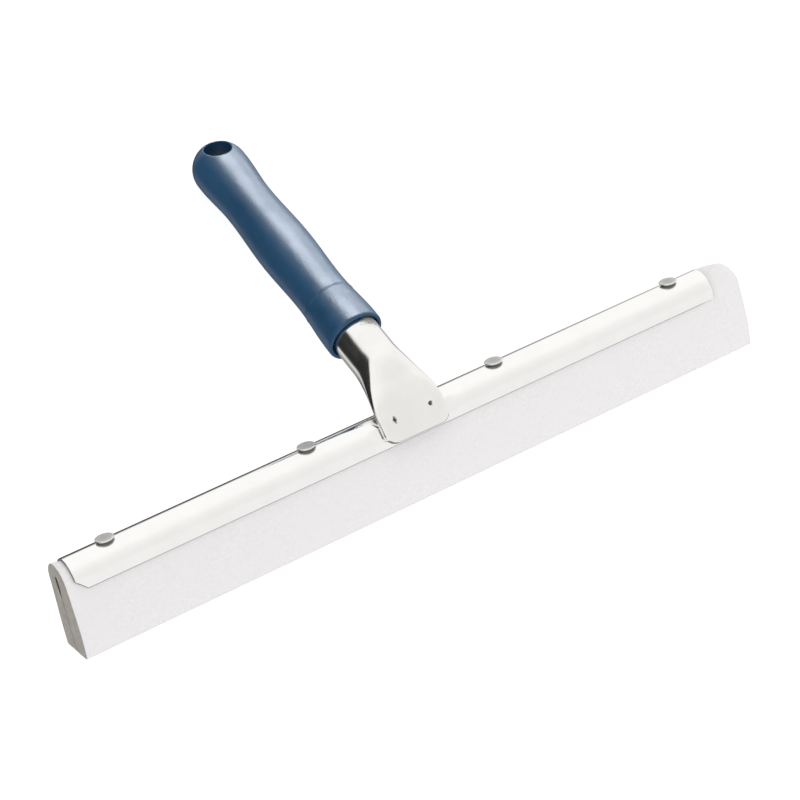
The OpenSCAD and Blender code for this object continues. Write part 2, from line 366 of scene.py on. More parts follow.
def plated_steel(name, bright, dull, rough, grain, burns_and_shades=(), stored=True):
    """Bright plated steel with faint drawing lines along grain, soft smudges, and darker marks:
    real burns, and painted shade.

    Each mark is a place in the piece's own frame, its reach along each axis, its colour and how
    ragged it is.
    """
    material, tree, shader = new_material(name, {"Metallic": 1.0, "Roughness": rough[0]})
    plain = place_in_mm(tree, stored=stored)
    drawn = place_in_mm(tree, grain, stored)
    smudge = noise(tree, plain, 14, 4, 0.6)
    lines = noise(tree, drawn, 0.35, 3, 0.6)
    colour = mix_colour(tree, smooth_range(tree, smudge, 0.35, 0.7), bright, dull)
    fine = noise(tree, plain, 2.2, 3, 0.6)
    both = calc(tree, "ADD", calc(tree, "MULTIPLY", smudge, 0.7), calc(tree, "MULTIPLY", fine, 0.3))
    roughness = smooth_range(tree, both, 0.35, 0.68, rough[0], rough[1])
    ripple = bump(tree, noise(tree, plain, 9, 1), 0.05)
    normal = bump(tree, lines, 0.003, under=ripple)
    # The welds' marks are real burns; the other marks are painted shade.
    for middle, reach, burn_and_shade_colour, ragged in burns_and_shades:
        burn_and_shade = smooth_range(tree, near_place(tree, middle, reach, ragged), 0.0, 0.6, 0.0, 0.9)
        colour = mix_colour(tree, burn_and_shade, colour, burn_and_shade_colour)
        roughness = calc(tree, "MAXIMUM", roughness, calc(tree, "MULTIPLY", burn_and_shade, 0.75))
    link(tree, shader, Base_Color=colour, Roughness=roughness, Normal=normal)
    return material


def rail_steel():
    bright, dull = (0.955, 0.948, 0.938), (0.93, 0.923, 0.913)
    return plated_steel("rail_steel", bright, dull, rough=(0.13, 0.18), grain=(40, 1, 1))


def tube_steel():
    """The tube's steel, with two burn marks at the welds and a patch of painted shade next to the grip."""
    bright, dull = (0.91, 0.905, 0.89), (0.87, 0.862, 0.845)
    weld_depth = TONGUE_OUT @ (FOOT + TONGUE_OUT * TONGUE_T / 2 - CORNER) - 0.4
    burns_and_shades = []
    for side in (-1, 1):
        weld = (side * WELD_X, weld_depth, WELD_S - TONGUE_LEN)
        burns_and_shades.append((weld, (1.6, 2.4, 1.6), (0.06, 0.055, 0.05), 1.5))
    # Painted shade on the tube next to the grip's collar.
    burns_and_shades.append(((7, 0, NECK_LEN - 1), (9, 40, 6), (0.45, 0.44, 0.42), 4.0))
    return plated_steel("tube_steel", bright, dull, rough=(0.13, 0.2), grain=(1, 1, 30), burns_and_shades=burns_and_shades)


def rivet_steel():
    """The rivets' steel, with painted shade at the foot of each head, and darker and rougher on its top."""
    bright, dull = (0.88, 0.87, 0.865), (0.78, 0.77, 0.765)
    burns_and_shades = [
        # Painted shade round the foot of each head, under its rim.
        ((0, 0, CROWN_TOP), (40, 40, 1.1), (0.17, 0.163, 0.15), 0.0),
        ((0, 0, CROWN_TOP + RIVET_HEAD_T + 0.28), (60, 60, 0.5), (0.42, 0.415, 0.41), 0.0),
    ]
    return plated_steel("rivet_steel", bright, dull, rough=(0.16, 0.26), grain=(1, 1, 1), burns_and_shades=burns_and_shades)


def strip_steel():
    """The clamp strip's plain steel. The strip is a CAD node, so it stores no places."""
    bright, dull = (0.60, 0.60, 0.60), (0.48, 0.48, 0.48)
    return plated_steel("strip_steel", bright, dull, rough=(0.3, 0.45), grain=(30, 1, 1), stored=False)


def cut_edge_and_shade():
    """The sheared edge of a plated sheet: dull, darker than its faces, with painted light at one end.

    The dark is partly the bare cut steel and partly painted shade along the edges. The painted
    light sits at the rail's right end.
    """
    material, tree, shader = new_material("cut_edge_and_shade", {"Metallic": 0.7, "Roughness": 0.5})
    torn = noise(tree, place_in_mm(tree, (0.4, 1, 1)), 0.5, 3, 0.6)
    shade = smooth_range(tree, torn, 0.3, 0.7)
    # Dark: partly bare cut steel, partly painted shade along the edges.
    colour = mix_colour(tree, shade, (0.17, 0.166, 0.16), (0.28, 0.275, 0.265))
    # Painted light on the edges at the rail's right end.
    painted_light_end = near_place(tree, (RAIL_RIGHT, 0, CROWN_Z), (9, 200, 200))
    colour = mix_colour(tree, smooth_range(tree, painted_light_end, 0.0, 0.7), colour, (0.75, 0.745, 0.735))
    link(tree, shader, Base_Color=colour, Normal=bump(tree, torn, 0.02))
    return material


def foam_skin():
    """Fine closed foam rubber: chalky white, faintly mottled, with tiny pits painted darker as shade."""
    material, tree, shader = new_material("foam_skin", {"Roughness": 0.9})
    plain = place_in_mm(tree)
    mottle = noise(tree, plain, 1.6, 4, 0.65)
    patches = noise(tree, plain, 22, 2)
    pits = cells(tree, plain, 0.45)
    shade = smooth_range(tree, mottle, 0.3, 0.7)
    white = mix_colour(tree, shade, (0.785, 0.772, 0.779), (0.84, 0.827, 0.834))
    patched = mix_colour(tree, smooth_range(tree, patches, 0.3, 0.75), white, (0.815, 0.80, 0.808))
    # The pits' hollows are painted darker, as shade.
    pitted = mix_colour(tree, smooth_range(tree, pits, 0.0, 0.25), (0.75, 0.73, 0.74), patched)
    grain = bump(tree, mottle, 0.10)
    normal = bump(tree, smooth_range(tree, pits, 0.05, 0.4), 0.06, under=grain)
    link(tree, shader, Base_Color=pitted, Normal=normal)
    return material


def foam_cut():
    """The sawn faces of the foam, with open cells.

    The white foam is painted grey-brown here as shade, darker still in the pores, and darker
    again round the slit, with dirt and painted shade.
    """
    material, tree, shader = new_material("foam_cut", {"Roughness": 0.95})
    plain = place_in_mm(tree)
    sawn = noise(tree, place_in_mm(tree, (1, 1, 7)), 0.8, 3, 0.6)
    pores = cells(tree, plain, 0.6)
    dust = noise(tree, plain, 3.5, 4, 0.6)
    # Painted shade: the white foam is painted grey-brown, as it is in shade at the ends.
    base = mix_colour(tree, smooth_range(tree, dust, 0.3, 0.7), (0.32, 0.30, 0.27), (0.40, 0.38, 0.345))
    # The pores are painted darker still, as shade.
    colour = mix_colour(tree, smooth_range(tree, pores, 0.0, 0.3), (0.20, 0.185, 0.165), base)
    rough_cut = bump(tree, sawn, 0.14)
    normal = bump(tree, smooth_range(tree, pores, 0.0, 0.35), 0.16, under=rough_cut)
    # Round the slit: dirt and painted shade.
    slit = near_place(tree, (0, CROWN_Y, 32.5), (400, 2.6, 6.5))
    shaded_and_stained = mix_colour(tree, calc(tree, "MULTIPLY", slit, 0.75), colour, (0.10, 0.085, 0.07))
    link(tree, shader, Base_Color=shaded_and_stained, Normal=normal)
    return material


def foam_slit():
    """The inner faces of the fold and the seam, painted dark as shade: darkest round the slit in
    the fold, less dark down the seam.
    """
    material, tree, shader = new_material("foam_slit", {"Roughness": 0.95})
    shade_mottle = noise(tree, place_in_mm(tree, (4, 1, 1)), 2.0, 4, 0.6)
    shade = smooth_range(tree, shade_mottle, 0.3, 0.7)
    # Mottled painted shade.
    colour = mix_colour(tree, shade, (0.05, 0.045, 0.04), (0.11, 0.10, 0.088))
    fold = smooth_range(tree, near_place(tree, (0, CROWN_Y, CROWN_Z), (400, 8, 9)), 0.0, 0.3)
    # Less painted shade on the seam, away from the slit in the fold.
    colour = mix_colour(tree, fold, (0.25, 0.235, 0.21), colour)
    link(tree, shader, Base_Color=colour, Normal=bump(tree, shade_mottle, 0.1))
    return material


def grip_plastic():
    """Blue moulded plastic with a fine matte grain."""
    material, tree, shader = new_material("grip_plastic", {"Roughness": 0.38, "IOR": 1.5})
    plain = place_in_mm(tree)
    grain = noise(tree, plain, 0.35, 3, 0.6)
    flow = noise(tree, place_in_mm(tree, (1, 1, 6)), 7, 3, 0.55)
    shade = smooth_range(tree, flow, 0.3, 0.7)
    colour = mix_colour(tree, shade, (0.005, 0.054, 0.128), (0.007, 0.066, 0.156))
    handled = noise(tree, plain, 10, 4, 0.6)
    roughness = smooth_range(tree, handled, 0.3, 0.7, 0.33, 0.42)
    coarse = bump(tree, noise(tree, plain, 1.1, 2, 0.6), 0.05)
    normal = bump(tree, grain, 0.03, under=coarse)
    link(tree, shader, Base_Color=colour, Roughness=roughness, Normal=normal)
    return material


# ---- Mesh building ----


def make_object(name, points, faces, materials, face_materials=None, merge=0.0):
    """A smooth-shaded object from points in millimetres, with its faces turned outwards."""
    mesh = bpy.data.meshes.new(name)
    mesh.from_pydata([Vector(p) * MM for p in points], [], faces)
    for material in materials:
        mesh.materials.append(material)
    if face_materials is not None:
        mesh.polygons.foreach_set("material_index", face_materials)
    work = bmesh.new()
    work.from_mesh(mesh)
    if merge:
        bmesh.ops.remove_doubles(work, verts=work.verts, dist=merge * MM)
    bmesh.ops.recalc_face_normals(work, faces=work.faces)
    for face in work.faces:
        face.smooth = True
    work.to_mesh(mesh)
    work.free()
    made = bpy.data.objects.new(name, mesh)
    bpy.context.scene.collection.objects.link(made)
    return made


def lay_in_place(piece, matrix, places=None):
    """Stores each point's place in the piece's own frame, then lays the mesh down as in the CAD."""
    mesh = piece.data
    if places is None:
        places = [c / MM for vertex in mesh.vertices for c in vertex.co]
    mesh.attributes.new("place", "FLOAT_VECTOR", "POINT").data.foreach_set("vector", places)
    mesh.transform(matrix)


def soften_edges(piece, width_mm, segments, angle, material):
    """Rounds the piece's edges that are sharper than angle, in the material with that number."""
    bevel = piece.modifiers.new("edges", "BEVEL")
    bevel.width = width_mm * MM
    bevel.segments = segments
    bevel.limit_method = "ANGLE"
    bevel.angle_limit = radians(angle)
    bevel.use_clamp_overlap = False
    bevel.material = material


def finish_piece(piece, node):
    """Puts the piece on the only body, in place of its CAD node."""
    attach(piece, "root")
    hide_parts(node)


def block(stations, outer, inner, across):
    """A solid bar between two matching paths in each [y, z] section, with faces tagged by side.

    outer(x) and inner(x) give as many [y, z] points each. The tags are 0 outside, 1 inside,
    2 ends and 3 the two long edges where the paths start and stop.
    """
    points = []
    index = {}
    sections = [(np.array(outer(x)), np.array(inner(x))) for x in stations]
    count = len(sections[0][0])
    last_j, last_i = len(stations) - 1, count - 1

    def vertex(j, i, k):
        if (j, i, k) not in index:
            index[j, i, k] = len(points)
            a, b = sections[j][0][i], sections[j][1][i]
            y, z = a + (b - a) * k / across
            points.append((stations[j], y, z))
        return index[j, i, k]

    faces = []
    tags = []

    def grid(corner, first, second, tag):
        """Adds the faces of one side, stepping along two of the three directions."""
        for u in range(first[1]):
            for v in range(second[1]):
                at = np.array(corner) + np.array(first[0]) * u + np.array(second[0]) * v
                ring = [at, at + first[0], at + np.array(first[0]) + second[0], at + second[0]]
                faces.append([vertex(*p) for p in ring])
                tags.append(tag)

    along, round_, through = ((1, 0, 0), last_j), ((0, 1, 0), last_i), ((0, 0, 1), across)
    grid((0, 0, 0), along, round_, 0)
    grid((0, 0, across), along, round_, 1)
    grid((0, 0, 0), round_, through, 2)
    grid((last_j, 0, 0), round_, through, 2)
    grid((0, 0, 0), along, through, 3)
    grid((0, last_i, 0), along, through, 3)
    return points, faces, tags


def spread(*keys):
    """Positions from the first key to the last, as (position, steps to it from the one before)."""
    values = [keys[0]]
    for end, steps in keys[1:]:
        values += list(np.linspace(values[-1], end, steps + 1)[1:])
    return values


# ---- Rail ----

SEAT_D = TONGUE_FRONT - TONGUE_T
SEAT_HALF = TONGUE_W / 2 + 2
SEAT_FADE = 5.0
RAIL_CORNER = 1.0
RAIL_POINTS = 72


def rail_low(x):
    """Height of the rail's lower edge, with its cut-off left corner and rounded right corner."""
    cut = max(0.0, RAIL_CHAMFER - (x - RAIL_LEFT))
    past = min(max(0.0, x - (RAIL_RIGHT - RAIL_CORNER)), RAIL_CORNER)
    return RAIL_LOW + cut + RAIL_CORNER - sqrt(RAIL_CORNER**2 - past**2)


def seat_press(x, y, z, depth):
    """Presses a point of the arch back to the flat seat under the tongue."""
    out = (y - CROWN_Y) * TONGUE_OUT[0] + (z - CROWN_Z) * TONGUE_OUT[1]
    free = step(abs(x), SEAT_HALF, SEAT_HALF + SEAT_FADE, 0.0, 1.0)
    over = out - depth
    if over <= 0:
        return y, z
    move = over * (1 - free)
    return y - TONGUE_OUT[0] * move, z - TONGUE_OUT[1] * move


def arch_path(x, r, low, depth):
    """Points over the arch of radius r, from z = low in front to z = low behind.

    w is the angle round the crown. Past its two ends, w times r is the way down a straight side.
    """
    start = (low - CROWN_Z) / r if low < CROWN_Z else np.arcsin((low - CROWN_Z) / r)
    path = []
    for w in np.linspace(start, pi - start, RAIL_POINTS):
        if w < 0:
            y, z = CROWN_Y - r, CROWN_Z + w * r
        elif w > pi:
            y, z = CROWN_Y + r, CROWN_Z - (w - pi) * r
        else:
            y, z = CROWN_Y - r * cos(w), CROWN_Z + r * sin(w)
        path.append(seat_press(x, y, z, depth))
    return path


def add_rail(sheet, cut):
    """The folded sheet, with its sheared ends and long edges in the second material, which paints shade
    along them.
    """
    seat_end = SEAT_HALF + SEAT_FADE
    stations = spread(
        RAIL_LEFT,
        (RAIL_LEFT + RAIL_CHAMFER, 10),
        (-seat_end, 60),
        (-SEAT_HALF, 8),
        (SEAT_HALF, 16),
        (seat_end, 8),
        (RAIL_RIGHT - RAIL_CORNER, 60),
        (RAIL_RIGHT, 3),
    )
    points, faces, tags = block(
        stations,
        lambda x: arch_path(x, CROWN_R, rail_low(x), SEAT_D),
        lambda x: arch_path(x, CROWN_R - SHEET, rail_low(x), SEAT_D - SHEET),
        across=1,
    )
    slots = [1 if tag >= 2 else 0 for tag in tags]
    rail = make_object("rail_sheet", points, faces, [sheet, cut], slots)
    lay_in_place(rail, LAY)
    # The rounded edges also take the second material, with its painted shade.
    soften_edges(rail, width_mm=0.34, segments=2, angle=35, material=1)
    finish_piece(rail, "rail")


# ---- Foam blade ----

FREE_FADE = 3.0  # length over which the foam swells past the rail's ends
SWELL_LOW = 20.0  # height where the swelling of the legs starts
END_ROUND = 0.6  # radius of the outside edges at the blade's two ends
SEAM_ROUND = 0.45  # the seam's edges are rounded by this share of that
SAWN_RIM = 0.3
RIGHT_SAG = 2.4
LEAN_TOP, LEAN_FOOT = 1.3, 0.5  # how far the right end's top leans in, and both feet lean out
HELD_FADE = 6.0  # the legs are uneven from this far below the rail
LEG_WAVE, END_WAVE = 0.07, 0.12
FACE_STEPS = 22
ARCH_STEPS = 30


def foam_radius(x):
    """Radius of the fold: held by the rail, and swollen past its ends."""
    left = step(x, RAIL_LEFT - FREE_FADE, RAIL_LEFT, FREE_R, FOAM_R)
    right = step(x, RAIL_RIGHT, RAIL_RIGHT + FREE_FADE, FOAM_R, FREE_R)
    return max(left, right)


def foam_drop(x):
    """How far the fold hangs down past the right end of the rail."""
    free = BLADE_RIGHT - RAIL_RIGHT
    return RIGHT_SAG * max(0.0, (x - RAIL_RIGHT) / free) ** 3


def leg_point(side, swell, y_foot, bulge, u):
    """A point of the front (side -1) or back (side 1) leg's face, at a share u of the way down."""
    y_top = CROWN_Y + side * FOAM_R
    z = RAIL_LOW * (1 - u)
    proud = side * swell * smooth((z - SWELL_LOW) / (RAIL_LOW - SWELL_LOW))
    return y_top + (y_foot - y_top) * u + bulge * 4 * u * (1 - u) + proud, z


def shift_path(path, amount):
    """The path moved sideways, to the right of the way it runs in [y, z]."""
    points = np.array(path)
    way = np.gradient(points, axis=0)
    way /= np.linalg.norm(way, axis=1)[:, None]
    return points + np.stack([way[:, 1], -way[:, 0]], axis=1) * amount


def end_cut(x):
    """How far the foam's surface is rounded in at x, close to the blade's two ends."""
    return round_cut(min(x - BLADE_LEFT, BLADE_RIGHT - x), END_ROUND)


def foam_outside(x):
    """Front face from the wiping edge up, over the fold, and down the back face."""
    r = foam_radius(x)
    drop = foam_drop(x)
    swell = r - FOAM_R
    front = [leg_point(-1, swell, 0, -BLADE_BULGE, 1 - i / FACE_STEPS) for i in range(FACE_STEPS)]
    fold = []
    for w in np.linspace(0, pi, ARCH_STEPS + 1):
        y, z = CROWN_Y - r * cos(w), CROWN_Z + r * sin(w)
        sagged = z - drop * smooth((z - RAIL_LOW) / (CROWN_R + CROWN_Z - RAIL_LOW))
        fold.append(seat_press(x, y, sagged, SEAT_D - SHEET - FOAM_GAP))
    back = [
        leg_point(1, swell, BLADE_FOOT, BLADE_BULGE / 2, i / FACE_STEPS)
        for i in range(1, FACE_STEPS + 1)
    ]
    return shift_path(front + fold + back, end_cut(x))


# Room in the slit for the clamp strip and the rivets' tails.
POCKET_LOW, POCKET_HIGH = 31.7, 35.0
POCKET_HALF = 4.3
POCKET_END = STRIP_LEN / 2 + 0.3
POCKET_EDGE = 0.02  # run of its steep walls


def slit_half(x, z):
    """Half the gap between the two legs: a closed seam, an open slit, and room for the strip."""
    if abs(x) < POCKET_END and POCKET_LOW <= z <= POCKET_HIGH:
        return POCKET_HALF
    return step(z, SLIT_LOW - 3, SLIT_LOW + 3.5, SEAM_W / 2, SLIT_W / 2)


def foam_inside(x):
    """The seam and slit, as points that match foam_outside one to one."""
    top = SLIT_HIGH - SLIT_W / 2
    levels = list(np.linspace(0, SLIT_LOW, FACE_STEPS - 1, endpoint=False))
    levels += [SLIT_LOW, POCKET_LOW - POCKET_EDGE, POCKET_LOW]
    levels += [POCKET_HIGH, POCKET_HIGH + POCKET_EDGE, top]
    walls = []
    for z in levels:
        middle = BLADE_FOOT / 2 + (CROWN_Y - BLADE_FOOT / 2) * min(1.0, z / SLIT_LOW)
        walls.append((middle, slit_half(x, z), z))
    count = 2 * FACE_STEPS + ARCH_STEPS + 1 - 2 * len(walls)
    front = [(m - h, z) for m, h, z in walls]
    cap = [
        (CROWN_Y - SLIT_W / 2 * cos(w), top + SLIT_W / 2 * sin(w))
        for w in np.linspace(0, pi, count + 2)[1:-1]
    ]
    back = [(m + h, z) for m, h, z in reversed(walls)]
    return shift_path(front + cap + back, -SEAM_ROUND * end_cut(x))


def ripple(p, size, seed):
    """Smooth waves of about unit height, for hand-made unevenness."""
    total = 0.0
    for k in range(3):
        turn = seed * 1.7 + k * 2.1
        way = Vector((cos(turn), sin(turn * 1.3), cos(turn * 0.7 + 1)))
        total += sin(way.dot(p) * (1 + 0.6 * k) * 2 * pi / size + turn)
    return total / 3


def mark_sawn_rim(blade):
    """Gives a thin rim of the skin at both ends the look of the sawn faces, painted shade and all."""
    for face in blade.data.polygons:
        x = face.center.x / MM
        if face.material_index == 0 and min(x - BLADE_LEFT, BLADE_RIGHT - x) < SAWN_RIM:
            face.material_index = 1


def end_lean(where):
    """How far a point of the foam past the rail's ends is moved along X."""
    if where.x > RAIL_RIGHT:
        free = (where.x - RAIL_RIGHT) / (BLADE_RIGHT - RAIL_RIGHT)
        return free * (LEAN_FOOT - (LEAN_TOP + LEAN_FOOT) * where.z / CROWN_TOP)
    if where.x < RAIL_LEFT:
        free = (RAIL_LEFT - where.x) / (RAIL_LEFT - BLADE_LEFT)
        return -free * LEAN_FOOT * (1 - where.z / CROWN_TOP)
    return 0.0


def unsettle_blade(blade):
    """Leans the free ends, and makes the foam slightly uneven where the rail doesn't hold it."""
    for vertex in blade.data.vertices:
        where = vertex.co / MM
        held = smooth((where.z - RAIL_LOW + HELD_FADE) / HELD_FADE)
        vertex.co.x += end_lean(where) * MM
        vertex.co.y += LEG_WAVE * MM * (1 - held) * ripple(where, size=31, seed=3)
        if where.x < RAIL_LEFT - 2 or where.x > RAIL_RIGHT + 2:
            vertex.co.z += END_WAVE * MM * ripple(where, size=9, seed=8)


def add_blade(skin, cut, slit):
    """The folded foam strip, with its skin, sawn faces and slit in three materials."""
    stations = spread(
        BLADE_LEFT,
        (BLADE_LEFT + 0.2, 3),
        (BLADE_LEFT + END_ROUND, 2),
        (RAIL_LEFT - FREE_FADE, 1),
        (RAIL_LEFT, 6),
        (-POCKET_END - POCKET_EDGE, 6),
        (-POCKET_END + POCKET_EDGE, 1),
        (-SEAT_HALF - SEAT_FADE, 50),
        (SEAT_HALF + SEAT_FADE, 20),
        (POCKET_END - POCKET_EDGE, 50),
        (POCKET_END + POCKET_EDGE, 1),
        (RAIL_RIGHT, 5),
        (RAIL_RIGHT + FREE_FADE, 6),
        (BLADE_RIGHT - END_ROUND, 12),
        (BLADE_RIGHT - 0.2, 2),
        (BLADE_RIGHT, 3),
    )
    points, faces, tags = block(stations, foam_outside, foam_inside, across=6)
    outside, inside, ends, long_edges = 0, 2, 1, 1
    slots = [(outside, inside, ends, long_edges)[tag] for tag in tags]
    blade = make_object("foam_blade", points, faces, [skin, cut, slit], slots)
    mark_sawn_rim(blade)
    unsettle_blade(blade)
    lay_in_place(blade, LAY)
    finish_piece(blade, "blade")


# ---- Rivets ----

RIVET_COUNT = 4
RIVET_SIDES = 64


def lathe(profile, sides):
    """Points and faces of [radius, height] turned about Z, closed by its two end points."""
    points = []
    rings = []
    for r, z in profile:
        if r == 0:
            points.append((0, 0, z))
            rings.append([len(points) - 1] * sides)
            continue
        first = len(points)
        points += [(r * cos(2 * pi * i / sides), r * sin(2 * pi * i / sides), z) for i in range(sides)]
        rings.append(list(range(first, first + sides)))
    faces = []
    for low, high in zip(rings, rings[1:]):
        for i in range(sides):
            ring = [low[i], low[(i + 1) % sides], high[(i + 1) % sides], high[i]]
            faces.append(list(dict.fromkeys(ring)))
    return points, faces


def fillet(corner, start, end, steps=4):
    """Points of a rounded corner from start to end, as a quadratic curve."""
    a, b, c = (np.array(p, float) for p in (start, corner, end))
    ts = np.linspace(0, 1, steps + 1)
    return [tuple((1 - t) ** 2 * a + 2 * t * (1 - t) * b + t * t * c) for t in ts]


def add_rivet(number, material):
    """A round head with a slightly crowned top, a shank, and a tail closed under the strip."""
    head_r, shank_r, tail_r = 4.2, 2.0, 3.0
    tail_low = STRIP_Z - 1.2
    top = CROWN_TOP + RIVET_HEAD_T
    profile = [(0, tail_low)]
    profile += fillet((tail_r, tail_low), (tail_r - 0.4, tail_low), (tail_r, tail_low + 0.4))
    profile += fillet((tail_r, STRIP_Z), (tail_r, STRIP_Z - 0.3), (tail_r - 0.3, STRIP_Z))
    profile += [(shank_r, STRIP_Z), (shank_r, CROWN_TOP - 0.1)]
    profile += [(3.0, CROWN_TOP - 0.6), (3.15, CROWN_TOP - 0.2), (3.32, CROWN_TOP + 0.2)]
    profile += [(3.5, CROWN_TOP + 0.5)]
    profile += fillet((3.75, top - 0.62), (3.58, top - 0.75), (head_r - 0.06, top - 0.58))
    profile += fillet((head_r, top - 0.1), (head_r, top - 0.48), (head_r - 0.45, top - 0.06))
    profile += [(head_r * f, top - 0.05 * f * f) for f in (0.7, 0.5, 0.3, 0.12)]
    profile += [(0, top)]
    points, faces = lathe(profile, RIVET_SIDES)
    x = (number - (RIVET_COUNT + 1) / 2) * RIVET_PITCH
    rivet = make_object(f"rivet_{number}_turned", points, faces, [material])
    lay_in_place(rivet, LAY @ Matrix.Translation(Vector((x, CROWN_Y, 0)) * MM))
    finish_piece(rivet, f"rivet_{number}")


# ---- Handle tube ----

NECK_POINTS = 22  # steps in a quarter of the section
END_SHARE = 8  # how many of them go round the fold at the side of the tongue
EDGE_ROUND = 0.5
ROUND_START, ROUND_LEN = 11.0, 15.0  # where the section turns from pressed to an ellipse
WELD_X, WELD_S = 9.2, 9.8
CRATER_R, CRATER_DEPTH = 1.15, 0.45
WELD_RIM = 0.16
TONGUE_SKIN = 0.5  # points within this distance of the tongue's front plane lie on its face


def path_angle(s):
    """Angle of the tube's middle at distance s from the foot of the tongue."""
    if s < BEND_START:
        return TONGUE_ANGLE
    if s > BEND_END:
        return HANDLE_ANGLE
    return TONGUE_ANGLE + np.degrees((s - BEND_START) / BEND_R)


def path_point(s):
    """[y, z] at distance s along the middle of the tube from the foot of the tongue."""
    if s < BEND_START:
        return FOOT + TONGUE_DIR * s
    if s > BEND_END:
        return CORNER + HANDLE_DIR * (BEND_CUT + s - BEND_END)
    a, a0 = radians(path_angle(s)), radians(TONGUE_ANGLE)
    return FOOT + TONGUE_DIR * BEND_START + BEND_R * np.array([cos(a0) - cos(a), sin(a) - sin(a0)])


def round_cut(s, r):
    """How far a corner of radius r is rounded in, at distance s from its end."""
    return 0.0 if s >= r else r - sqrt(r * r - (r - s) ** 2)


def half_width(s):
    return step(s, NARROW_START, NARROW_END, TONGUE_W / 2, TUBE_R) - round_cut(s, CORNER_R)


def half_thick(s):
    return step(s, THICK_START, THICK_END, TONGUE_T / 2, TUBE_R) - round_cut(s, EDGE_ROUND)


def quarter(s, inset):
    """A quarter of the tube's section from its side to its front, as [across, out]."""
    w, t = half_width(s) - inset, half_thick(s) - inset
    roundness = smooth((s - ROUND_START) / ROUND_LEN)
    points = []
    for i in range(NECK_POINTS + 1):
        q = pi / 2 * i / NECK_POINTS
        ellipse = (w * cos(q), t * sin(q))
        if i <= END_SHARE:
            fold = pi / 2 * i / END_SHARE
            pressed = (w - t + t * cos(fold), t * sin(fold))
        else:
            pressed = ((w - t) * (NECK_POINTS - i) / (NECK_POINTS - END_SHARE), t)
        points.append(tuple(a + (b - a) * roundness for a, b in zip(pressed, ellipse)))
    return points


def tube_ring(s, inset=0.0, flatten=1.0):
    """A closed ring of points round the tube at s. flatten scales its thickness."""
    part = quarter(max(s, 0.0), inset)
    ring = part + [(-a, b) for a, b in reversed(part[:-1])]
    ring += [(a, -b) for a, b in reversed(ring[1:-1])]
    angle = radians(path_angle(s))
    y, z = path_point(s)
    return [(a, y - cos(angle) * b * flatten, z + sin(angle) * b * flatten) for a, b in ring]


def loft(rings):
    """Points and faces through rings of equal length, closed at both ends."""
    count = len(rings[0])
    points = [p for ring in rings for p in ring]
    faces = []
    for i in range(len(rings) - 1):
        for j in range(count):
            k = (j + 1) % count
            low, high = i * count, (i + 1) * count
            faces.append([low + j, low + k, high + k, high + j])
    return points, faces


def press_weld(work, middle, out, up):
    """Refines the tongue's face round one weld, and presses a crater with a raised rim in it."""
    # Edges get one cut in a wide circle, and two more in a small one.
    for reach, cuts in ((4.2, 1), (3.0, 2)):
        near = [
            edge
            for edge in work.edges
            if all((v.co - middle).length < reach * MM for v in edge.verts)
            and all(abs((v.co - middle).dot(out)) < TONGUE_SKIN * MM for v in edge.verts)
        ]
        bmesh.ops.subdivide_edges(work, edges=near, cuts=cuts, use_grid_fill=True)
    for vertex in work.verts:
        away = vertex.co - middle
        if abs(away.dot(out)) > TONGUE_SKIN * MM:
            continue
        r = hypot(away.x, away.dot(up)) / MM
        crater = -CRATER_DEPTH * (1 - smooth(r / CRATER_R))
        rim = WELD_RIM * smooth((r - 0.6) / 0.6) * (1 - smooth((r - 1.2) / 0.9))
        vertex.co += out * (crater + rim) * MM


def press_welds(tube):
    """Two small weld marks in the front of the tongue."""
    out = Vector((0, *TONGUE_OUT))
    up = Vector((0, *TONGUE_DIR))
    level = FOOT + TONGUE_DIR * WELD_S + TONGUE_OUT * TONGUE_T / 2
    work = bmesh.new()
    work.from_mesh(tube.data)
    for side in (-1, 1):
        press_weld(work, Vector((side * WELD_X, *level)) * MM, out, up)
    work.to_mesh(tube.data)
    work.free()
    tube.data.polygons.foreach_set("use_smooth", [True] * len(tube.data.polygons))


def unbent_places(tube):
    """Where each point of the tube would be if the handle were straight, for the drawing lines."""
    values = []
    for vertex in tube.data.vertices:
        x, y, z = vertex.co / MM
        away = np.array([y, z]) - CORNER
        along = away @ HANDLE_DIR if away @ (HANDLE_DIR + TONGUE_DIR) > 0 else away @ TONGUE_DIR
        depth = away @ TONGUE_OUT
        values += [x, depth, along]
    return values


def mark_foot(tube):
    """Gives the sheared edge round the foot of the tongue the tube's second material, which paints shade
    along it.
    """
    out = Vector((0, *TONGUE_OUT))
    up = Vector((0, *TONGUE_DIR))
    foot = Vector((0, *FOOT)) * MM
    for face in tube.data.polygons:
        if (face.center - foot).dot(up) < CORNER_R / 2 * MM and abs(face.normal.dot(out)) < 0.7:
            face.material_index = 1


def add_handle_tube(material, cut):
    """The tube, from its flattened foot to its open end inside the grip, and back down its bore."""
    corners = [CORNER_R * (1 - cos(pi / 2 * i / 12)) for i in range(12)]
    starts = sorted({0.0, 0.06, 0.18, 0.36, *corners[2:]})
    neck = list(np.linspace(CORNER_R, NECK_END, 76))
    # The foot is closed by rings that flatten to a line, and so is the bottom of the bore.
    rings = [tube_ring(0.6, flatten=0.0), tube_ring(0.1, flatten=0.06), tube_ring(0, flatten=0.25)]
    rings += [tube_ring(s) for s in starts + neck]
    far = NECK_END + TUBE_INSIDE
    rings += [tube_ring(far), tube_ring(far, TUBE_WALL)]
    rings += [tube_ring(s, TUBE_WALL) for s in np.linspace(NECK_END, HOLLOW_START, 30)]
    rings += [tube_ring(HOLLOW_START - 0.5, TUBE_WALL, 0.0)]
    points, faces = loft(rings)
    tube = make_object("handle_tube_skin", points, faces, [material, cut], merge=0.001)
    mark_foot(tube)
    press_welds(tube)
    lay_in_place(tube, LAY, unbent_places(tube))
    finish_piece(tube, "handle_tube")


# ---- Grip ----

